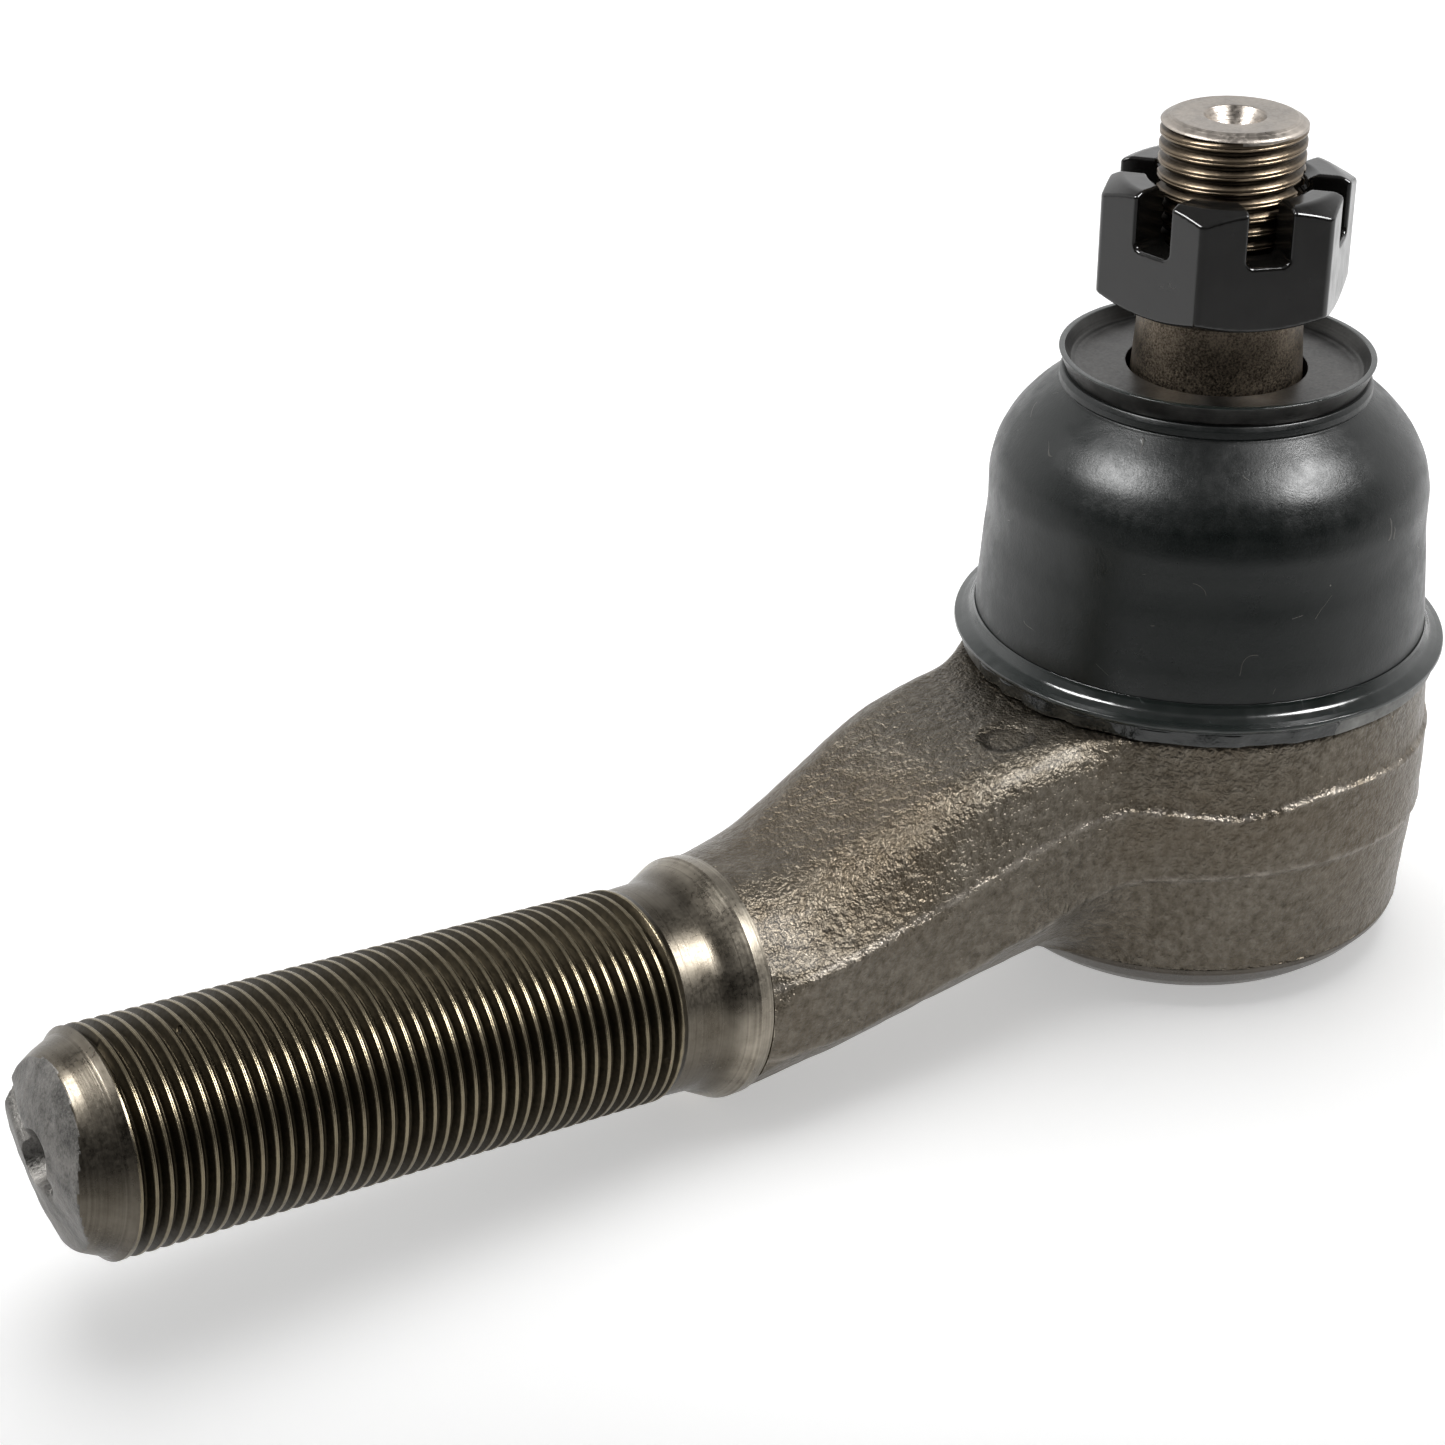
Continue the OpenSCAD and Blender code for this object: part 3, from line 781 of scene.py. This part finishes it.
def make_ring():
    verts, faces = revolve(outline([
        (20.8, -31.9), (23.9, -31.9, 0.15), (24.28, -31.6, 0.3), (24.34, -30.3, 0.2), (24.72, -30.05, 0.2),
        (25.0, -29.72, 0.12), (24.95, -29.42, 0.14), (24.3, -29.22, 0.8), (23.55, -28.85, 0.9),
        (23.1, -28.1, 0.5),
        (22.97, -27.75, 0.06), (22.88, -27.95), (22.88, -30.1), (20.8, -30.1)], 0.3, closed=True), 288,
        closed=True)
    r = np.hypot(verts[:, 0], verts[:, 1])
    turn = (np.degrees(np.arctan2(verts[:, 1], verts[:, 0])) + 314) % 360 - 180
    smear = smooth((turn + 66) / 10) * smooth((44 - turn) / 16)
    low = smooth((-30.1 - verts[:, 2]) / 0.3)
    lumps = smear * smooth((r - 23.9) / 0.2) * (0.30 * low * (0.6 + noise(verts, 1.8, 8)) + 0.08 *
                                                noise(verts, 1.0, 9))
    verts[:, :2] *= (1 + np.clip(lumps, -0.1, 24.95 - np.minimum(r, 24.95)) / r)[:, None]
    verts[:, 2] += 0.06 * noise(verts, 5.0, 4) * smooth((r - 23.6) / 0.8) * (1 - low)
    ring = mesh_piece("boot_ring", verts, faces, 40)
    ring.data.attributes.new("smear", "FLOAT", "POINT").data.foreach_set("value", smear.astype(np.float32))
    choice = np.where(face_centres(ring)[:, 2] < -30.0, 1, 0)
    return finish_piece(ring, "root", "boot_retaining_ring", [ring_black, skirt_grey],
                        choice)


def make_cup():
    verts, faces = revolve(outline([
        (8.95, -2.8), (14.55, -2.8, 0.3), (14.95, -1.7, 0.4), (15.62, -0.12, 0.12), (15.6, 0.0, 0.08),
        (15.05, 0.0, 0.12),
        (14.4, -1.38, 0.35), (13.6, -1.5, 1.5), (10.0, -1.42), (8.95, -1.4, 0.1)], 0.35, closed=True), 224,
        closed=True)
    r = np.hypot(verts[:, 0], verts[:, 1])
    verts[:, 2] += np.minimum(0.03 * noise(verts, 5.0, 14) * smooth((r - 9) / 2),
                              np.maximum(0, -0.01 - verts[:, 2]))
    cup = mesh_piece("boot_cup_pressing", verts, faces, 40)
    centre = face_centres(cup)
    r = np.hypot(centre[:, 0], centre[:, 1])
    choice = np.where((r < 13.9) & (centre[:, 2] > -2), 0, 1)
    # The walls and the hole's edge take the darker copy of the satin: painted shade.
    choice[(r < 9.05) | (r > 13.9) & (centre[:, 2] < -0.1)] = 2
    return finish_piece(cup, "boot_top", "boot_cup", [cup_satin, ring_black, cup_wall_shaded], choice)


# ---- Stud and nut ----

def make_stud():
    steps = np.radians(np.linspace(0, 144.2, 49))
    ball = np.stack([BALL_R * np.sin(steps), BALL_Z - BALL_R * np.cos(steps)], -1)
    gauge = lambda z: 8.35 - z / 16
    shaft = outline([
        tuple(ball[-1]), (7.4, -31.6, 0.8), (7.4, -22.0, 2.0), (gauge(-16.5), -16.5, 1.0),
        (gauge(5.1), 5.1, 0.1),
        (gauge(5.1) - 0.35, 5.3, 0.1), (6.1, 5.4, 0.2), (6.1, 6.5, 0.2), (STUD_R, 7.6)], 0.8)
    tip = outline([
        (STUD_R, 23.25), (6.85, 23.45, 0.15), (6.35, 23.74, 0.25), (6.0, STUD_TIP - 0.01, 0.2),
        (3.05, STUD_TIP - 0.05, 0.2),
        (1.0, 20.7), (0.95, 20.2), (0, 19.6)], 0.35)
    profile = np.vstack([ball[:-1], shaft, tip])
    groove = [(0.0, 0.075), (0.035, 0.03), (0.07, 0.0), (0.15, 0.0), (0.20, 0.03), (0.40, 0.32),
              (0.45, 0.37), (0.55, 0.37),
              (0.60, 0.32), (0.80, 0.03), (0.85, 0.0), (0.93, 0.0), (0.965, 0.03)]
    verts, faces = revolve(profile, 128, thread=(len(ball) + len(shaft) - 2, STUD_PITCH, groove, 0.25))
    stud = mesh_piece("stud_turned", verts, faces, 38)
    bore, bore_faces = revolve(outline([
        (0, -9), (3.1, -9), (COTTER_R + 0.05, -6.9), (COTTER_R, -6.4), (COTTER_R, 6.4),
        (COTTER_R + 0.05, 6.9), (3.1, 9),
        (0, 9)], 1.5), 48)
    a = np.array([math.cos(COTTER_TURN), math.sin(COTTER_TURN), 0])
    b = np.array([-a[1], a[0], 0])
    bore = np.array([0, 0, COTTER_Z]) + bore[:, 2:] * a + bore[:, 1:2] * b - bore[:,
                                                                                  :1] * np.array([0, 0, 1])
    combine(stud, bore, bore_faces, "DIFFERENCE", 38)
    centre = face_centres(stud)
    z, r = centre[:, 2], np.hypot(centre[:, 0], centre[:, 1])
    choice = np.full(len(z), 1)
    choice[z < -30.5] = 0
    choice[z > 5.4] = 2
    choice[(z > 23.05) | (z > 19) & (r < 4)] = 3
    return finish_piece(stud, "stud", "ball_stud", [ball_steel, taper, stud_thread, stud_top],
                        choice)


def castle_nut(p):
    """The nut as a distance: a hexagon turned off at both ends, slotted across its flats and bored."""
    x, y, z = p[..., 0], p[..., 1], p[..., 2]
    r = np.hypot(x, y)
    across, along = [], []
    for k in range(3):
        a = NUT_TURN + k * math.pi / 3
        across.append(np.abs(x * math.cos(a) + y * math.sin(a)) - NUT_FLATS / 2)
        a += SLOT_SKEW
        along.append(np.abs(-x * math.sin(a) + y * math.cos(a)) - SLOT_W / 2)
    low, mid, high = np.sort(np.stack(across), axis=0)
    solid = round_max(high, mid, 0.45)
    solid = round_max(solid, ((r - 10.7) * 1.35 + (z - NUT_TOP) * 2.34) / 2.70, 0.22)
    solid = round_max(solid, ((r - 11.0) * 1.15 + (NUT_Z - z) * 2.05) / 2.35, 0.20)
    solid = round_max(solid, z - NUT_TOP, 0.2)
    solid = round_max(solid, NUT_Z - z, 0.2)
    for side in along:
        gap = round_max(side, SLOT_Z - z, 0.75)
        solid = round_max(solid, -gap, 0.36)
    turn = np.arctan2(y, x) / (2 * math.pi)
    phase = (z / STUD_PITCH - turn) % 1
    bore = 7.20 + 0.40 * smooth(np.abs(phase - 0.5) * 2.4 - 0.1) + np.maximum(0, 0.9 -
        (NUT_TOP - z)) + np.maximum(0, 0.7 - (z - NUT_Z))
    return round_max(solid, (bore - r) * 0.75, 0.12)


def make_nut():
    verts, faces = surface_net(castle_nut, (-13.6, -13.6, NUT_Z - 0.6), (13.6, 13.6, NUT_TOP + 0.6), 0.2)
    normal = gradient(castle_nut, verts, 0.03)
    normal /= np.linalg.norm(normal, axis=1)[:, None]
    nut = mesh_piece("castle_nut", verts, faces, 180)
    nut.data.normals_split_custom_set_from_vertices(normal.tolist())
    return finish_piece(nut, "nut", "slotted_nut", [nut_black])


# ---- Underside ----

def make_cover():
    cover = mesh_piece("cover_pressing", *revolve(outline([
        (0, -61.72), (9.4, -61.74, 1.5), (10.9, -62.36, 0.8), (16.9, -62.39, 0.25), (16.95, -60.15, 0.2),
        (11.4, -60.12, 0.8),
        (10.2, -60.1, 0.8), (0, -60.1)], 0.6), 160), 40)
    return finish_piece(cover, "root", "cover_plate", [eye_turned])


make_housing()
make_cover()
make_boot()
make_ring()
make_cup()
make_stud()
make_nut()
for name, material in (("upper_seat", nylon), ("lower_seat", nylon), ("preload_spring", spring_steel)):
    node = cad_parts[name]
    node.data.materials.clear()
    node.data.materials.append(material)


# ---- Camera, floor and light ----

def direction(azimuth, elevation):
    """Unit vector; azimuth 0 is towards -Y and 90 towards +X."""
    a, e = math.radians(azimuth), math.radians(elevation)
    return Vector((math.sin(a) * math.cos(e), -math.cos(a) * math.cos(e), math.sin(e)))


def soft_box(name, azimuth, elevation, distance, width, height, radiance):
    """A rectangular light aimed at the part, seen in reflections; radiance is how bright it looks."""
    light = bpy.data.lights.new(name, "AREA")
    light.shape, light.size, light.size_y = "RECTANGLE", width, height
    light.energy = radiance * math.pi * width * height
    lamp = bpy.data.objects.new(name, light)
    lamp.location = direction(azimuth, elevation) * distance + Vector((-0.04, 0, -0.03))
    lamp.rotation_euler = direction(azimuth, elevation).to_track_quat("Z", "Y").to_euler()
    lamp.visible_diffuse = False
    scene.collection.objects.link(lamp)
    return lamp


def make_stage():
    camera = bpy.data.objects.new("camera", bpy.data.cameras.new("camera"))
    camera.location = (-0.20983, -0.21556, 0.11575)
    camera.rotation_euler = (math.radians(62.03), 0, math.radians(-34.86))
    camera.data.sensor_width, camera.data.lens = 36, 79.67
    camera.data.clip_start = 0.01
    scene.collection.objects.link(camera)
    scene.camera = camera

    mesh = bpy.data.meshes.new("floor")
    z = BOTTOM_Z * MM - 0.00005
    mesh.from_pydata([(-4, -4, z), (4, -4, z), (4, 4, z), (-4, 4, z)], [], [(0, 1, 2, 3)])
    floor = bpy.data.objects.new("floor", mesh)
    scene.collection.objects.link(floor)
    # Painted light and shade on the floor: it glows behind and around the part, filling the contact shadows,
    # and is darker towards the camera, which darkens what the part reflects.
    s = Shader("floor")
    ahead = s.node("VectorMath", {0: s.place(), 1: -direction(145.14, 0)},
                   operation="DOT_PRODUCT").outputs["Value"]
    s.set(Base_Color=s.mix(s.step(ahead, 0.07, 0.20), (0.92, 0.92, 0.92), (0.45, 0.45, 0.45)),
          Roughness=0.9,
          Specular_IOR_Level=0.1, Emission_Color=(1, 1, 1, 1),
          Emission_Strength=s.step(ahead, 0.06, 0.14, 0.42, 0.04))
    mesh.materials.append(s.material)

    world = bpy.data.worlds.new("studio")
    world.use_nodes = True
    scene.world = world
    tree = world.node_tree
    add = lambda kind: tree.nodes.new("ShaderNode" + kind)
    look = tree.nodes.new("ShaderNodeTexCoord").outputs["Generated"]
    dot = add("VectorMath")
    dot.operation = "DOT_PRODUCT"
    dot.inputs[1].default_value = direction(145.14, 0)
    tree.links.new(look, dot.inputs[0])
    split = add("SeparateXYZ")
    tree.links.new(look, split.inputs[0])
    back, high = add("MapRange"), add("MapRange")
    for node, source, values in ((back, dot.outputs["Value"], (-0.45, 0.45, 0.03, 1.1)),
                                 (high, split.outputs["Z"], (0.35, 0.85, 0.0, 1.0))):
        node.interpolation_type = "SMOOTHSTEP"
        tree.links.new(source, node.inputs[0])
        for k, value in enumerate(values):
            node.inputs[k + 1].default_value = value
    blend = add("Mix")
    tree.links.new(high.outputs[0], blend.inputs[0])
    tree.links.new(back.outputs[0], blend.inputs[2])
    blend.inputs[3].default_value = 0.22
    background = tree.nodes["Background"]
    tree.links.new(blend.outputs[0], background.inputs["Strength"])
    background.inputs["Color"].default_value = (1, 1, 1, 1)

    soft_box("soft_box_right", 36, 49, 1.1, 0.50, 0.36, 29)
    soft_box("soft_box_left", -112, 51, 1.1, 0.50, 0.36, 25)
    overhead = soft_box("overhead", 145, 78, 0.62, 0.60, 0.60, 2.4)
    overhead.visible_diffuse, overhead.visible_glossy = True, False
    scene.view_settings.view_transform = "Standard"


make_stage()
